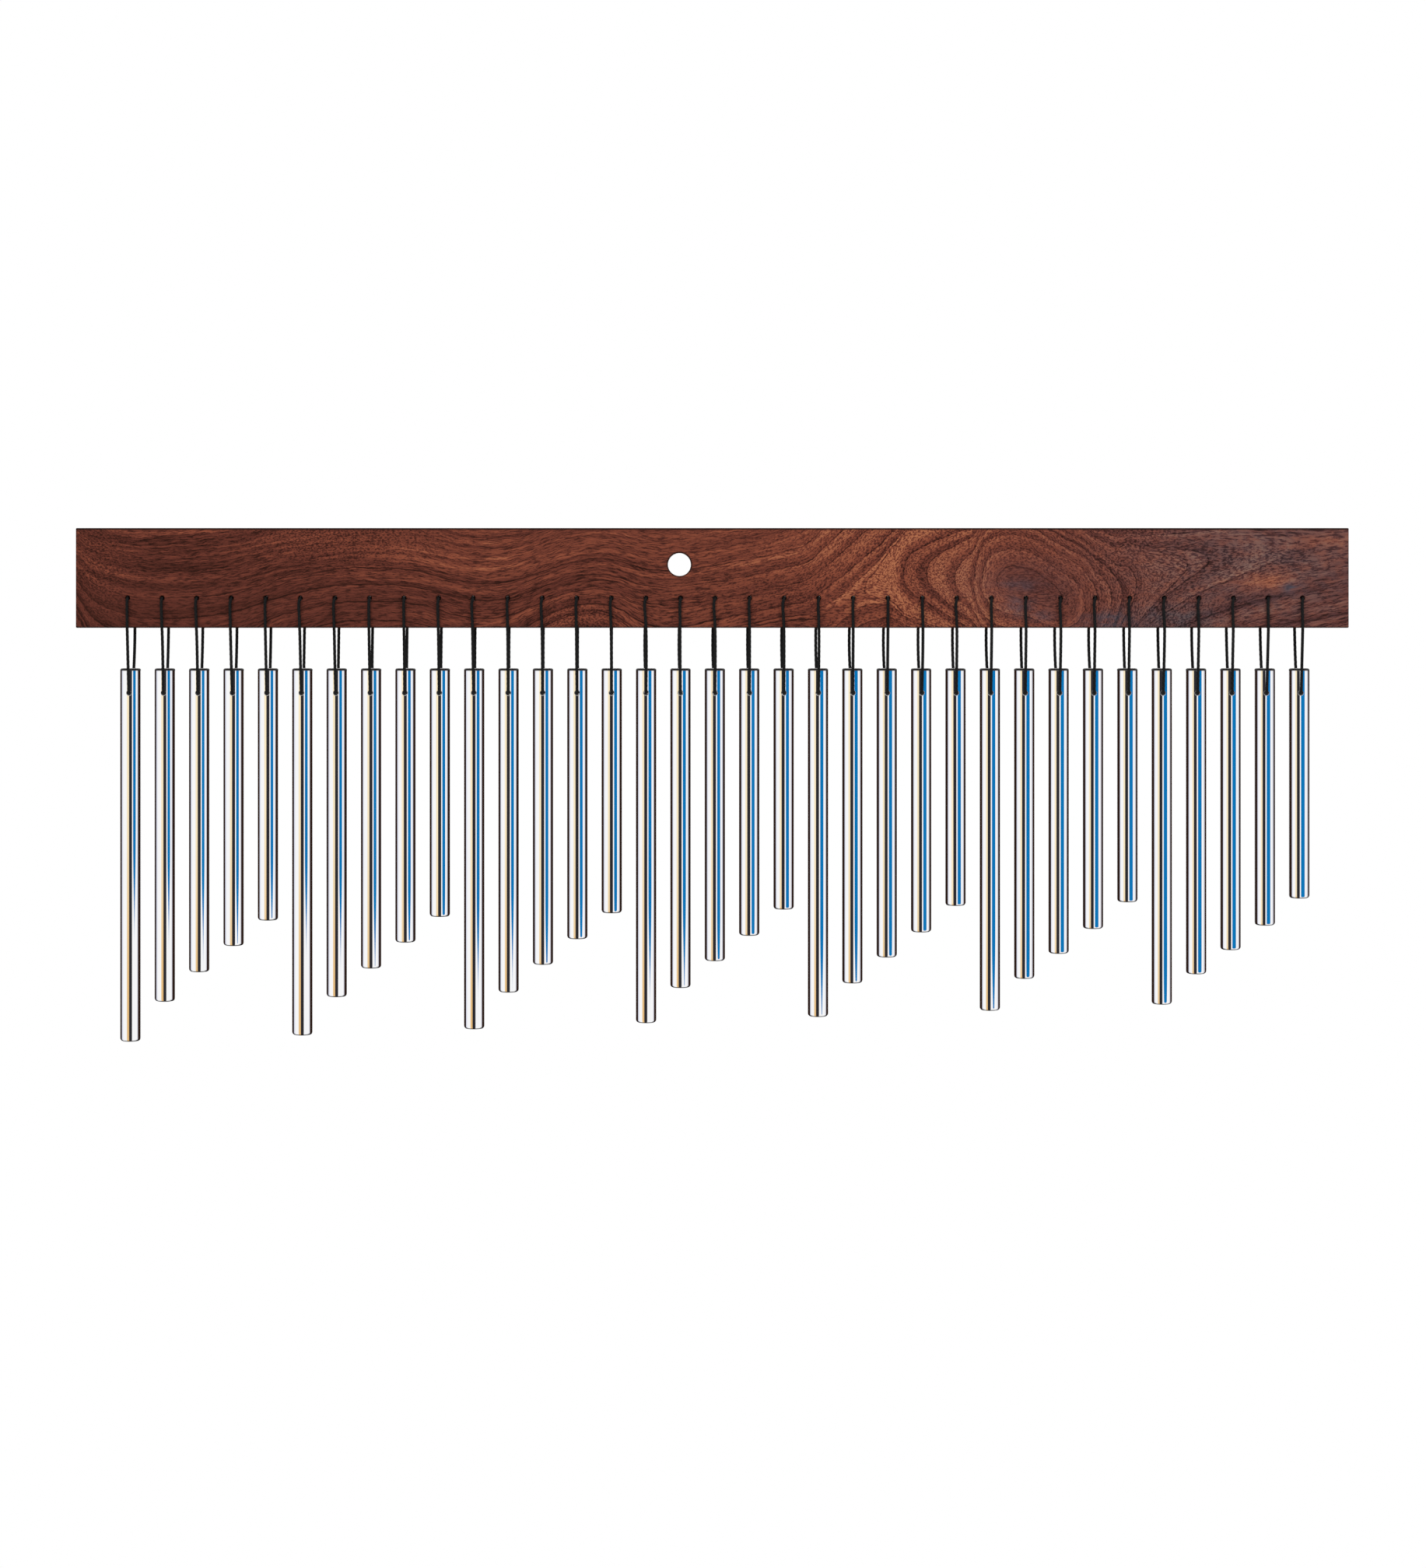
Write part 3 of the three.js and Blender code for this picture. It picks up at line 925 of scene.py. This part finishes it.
# Round the object, in degrees from the front and positive to the right: the colour that the bars mirror there
CARDS = [
    (-180, WHITE), (-171, WHITE), (-168, SHADE), (-104, SHADE), (-100, LAVENDER), (-88, PALE_BLUE),
    (-80, WHITE), (-47, WHITE), (-42, GOLD), (-23, GOLD), (-21, BLACK), (12, BLACK), (14, WHITE), (24, WHITE),
    (26, BLUE), (64, BLUE), (66, WHITE), (84, WHITE), (92, LILAC), (100, LILAC), (104, SHADE), (168, SHADE),
    (171, WHITE), (180, WHITE),
]


def direct_or_mirrored(tree):
    """1 for what the camera sees, straight or in a mirror or glass, and 0 for light that falls on things."""
    light = add_node(tree, "ShaderNodeLightPath")
    seen = calc(tree, "MAXIMUM", light.outputs["Is Camera Ray"], light.outputs["Is Glossy Ray"])
    return seen.math("MAXIMUM", light.outputs["Is Transmission Ray"])


def make_floor():
    mesh = bpy.data.meshes.new("floor")
    rim = circle(FLOOR_RADIUS, 0, 0, FLOOR_SIDES)
    mesh.from_pydata([(x, y, FLOOR_Z) for x, y in rim], [], [tuple(range(len(rim)))])
    material = new_material("pale_floor")
    tree = material.node_tree
    plain = add_node(tree, "ShaderNodeBsdfDiffuse", {"Color": FLOOR_GREY})
    white = add_node(tree, "ShaderNodeEmission", {"Color": (1.0, 1.0, 1.0, 1.0), "Strength": 1.0})
    seen = direct_or_mirrored(tree)
    mix = add_node(tree, "ShaderNodeMixShader", {0: seen, 1: plain.outputs[0], 2: white.outputs[0]})
    add_node(tree, "ShaderNodeOutputMaterial", {0: mix.outputs[0]})
    mesh.materials.append(material)
    floor = bpy.data.objects.new("floor", mesh)
    bpy.context.scene.collection.objects.link(floor)


def make_cards():
    """A ring of cards, and their ends laid on the floor, that only mirror in the bars."""
    count = CARDS_SIDES
    rim = circle(CARDS_RADIUS, 0, 0, count)
    points = [(x, y, CARDS_LOW) for x, y in rim] + [(x, y, CARDS_HIGH) for x, y in rim]
    faces = [(i, (i + 1) % count, (i + 1) % count + count, i + count) for i in range(count)]
    faces.append(tuple(range(count)))
    mesh = bpy.data.meshes.new("cards")
    mesh.from_pydata(points, [], faces)
    material = new_material("cards")
    tree = material.node_tree
    x, y, z = coordinates(tree, "Object", 1.0)
    angle = calc(tree, "ARCTAN2", x, -1.0 * y) * (180 / math.pi)
    share = add_node(tree, "ShaderNodeMapRange", {0: angle, 1: -180.0, 2: 180.0}).outputs[0]
    colour = ramp(tree, share, [((degrees + 180) / 360, tint) for degrees, tint in CARDS])

    # The gold card is deeper at its lower end, and the blue one runs to a point there
    deep = stretch(z, GOLD_PALE, GOLD_DEEP)
    deep = deep * stretch(abs(angle - GOLD_MIDDLE), GOLD_HALF, GOLD_HALF - GOLD_FADE)
    colour = mix_colour(tree, deep, colour, (*DEEP_GOLD, 1.0))
    from_middle = abs(angle - BLUE_MIDDLE)
    reach = BLUE_HALF * stretch(z, BLUE_POINT, BLUE_SHOULDER)
    beside = stretch(from_middle - reach, -BLUE_FADE, BLUE_FADE)
    beside = beside * stretch(from_middle, BLUE_HALF + 3 * BLUE_FADE, BLUE_HALF + BLUE_FADE)
    colour = mix_colour(tree, beside, colour, (*WHITE, 1.0))

    # Above the row the cards pale, and a low dark one behind shows in the bars' upper ends
    pale = stretch(z, CARDS_PALE_LOW, CARDS_PALE_HIGH, 0.0, CARDS_PALENESS)
    colour = mix_colour(tree, pale, colour, (*WHITE, 1.0))
    behind = stretch(abs(z - BEHIND_MIDDLE), BEHIND_HALF + BEHIND_FADE, BEHIND_HALF)
    behind = behind * stretch(abs(angle), BEHIND_SIDE, BEHIND_SIDE + BEHIND_SIDE_FADE)
    colour = mix_colour(tree, behind, colour, (*SHADE, 1.0))
    glow = add_node(tree, "ShaderNodeEmission", {"Color": colour, "Strength": 1.0})
    add_node(tree, "ShaderNodeOutputMaterial", {0: glow.outputs[0]})
    mesh.materials.append(material)
    cards = bpy.data.objects.new("cards", mesh)
    bpy.context.scene.collection.objects.link(cards)
    cards.visible_camera = False
    cards.visible_diffuse = False
    cards.visible_transmission = False
    cards.visible_volume_scatter = False
    cards.visible_shadow = False


def make_world():
    world = bpy.data.worlds.new("studio")
    bpy.context.scene.world = world
    world.use_nodes = True
    tree = world.node_tree
    tree.nodes.clear()
    soft = add_node(tree, "ShaderNodeBackground", {"Color": (1.0, 1.0, 1.0, 1.0), "Strength": SURROUND_LIGHT})
    white = add_node(tree, "ShaderNodeBackground", {"Color": (1.0, 1.0, 1.0, 1.0), "Strength": 1.0})
    seen = direct_or_mirrored(tree)
    mix = add_node(tree, "ShaderNodeMixShader", {0: seen, 1: soft.outputs[0], 2: white.outputs[0]})
    add_node(tree, "ShaderNodeOutputWorld", {0: mix.outputs[0]})


def make_lamp(name, place, aim, size, power):
    light = bpy.data.lights.new(name, "AREA")
    light.shape = "DISK"
    light.size = size
    light.energy = power
    lamp = bpy.data.objects.new(name, light)
    lamp.location = place
    lamp.rotation_euler = (Vector(aim) - Vector(place)).to_track_quat("-Z", "Y").to_euler()
    lamp.visible_glossy = False
    lamp.visible_camera = False
    bpy.context.scene.collection.objects.link(lamp)


# The camera looks level at the row, from a point a little left of the stand hole and below it. Its axis meets
# the picture at VIEW_AXIS, in pixels.
PHOTO_WIDTH = 1833
PHOTO_HEIGHT = 2016
VIEW_AXIS = (860, 760)
VIEW_DISTANCE = 1.650
VIEW_X = -5.0 * MM
VIEW_Z = -12.8 * MM
VIEW_NEAR = 0.05
VIEW_FAR = 50.0
LENS = 79.1
SENSOR = 36.0


def make_camera():
    data = bpy.data.cameras.new("camera")
    data.sensor_width = SENSOR
    data.lens = LENS
    data.shift_x = (PHOTO_WIDTH / 2 - VIEW_AXIS[0]) / PHOTO_HEIGHT
    data.shift_y = (VIEW_AXIS[1] - PHOTO_HEIGHT / 2) / PHOTO_HEIGHT
    data.clip_start = VIEW_NEAR
    data.clip_end = VIEW_FAR
    camera = bpy.data.objects.new("camera", data)
    camera.location = (VIEW_X, -(VIEW_DISTANCE + MANTLE_FACE), VIEW_Z)
    camera.rotation_euler = (math.pi / 2, 0, 0)
    bpy.context.scene.collection.objects.link(camera)
    bpy.context.scene.camera = camera


make_floor()
make_cards()
make_world()
make_lamp("key", place=(-1.3, -1.9, 1.5), aim=(0, 0, -0.05), size=1.6, power=26)
make_lamp("fill", place=(1.6, -1.7, 0.6), aim=(0, 0, -0.08), size=1.6, power=12)
make_lamp("rear", place=(0.4, 1.8, 1.2), aim=(0, 0, -0.05), size=1.4, power=16)
make_camera()
bpy.context.scene.view_settings.view_transform = "Standard"
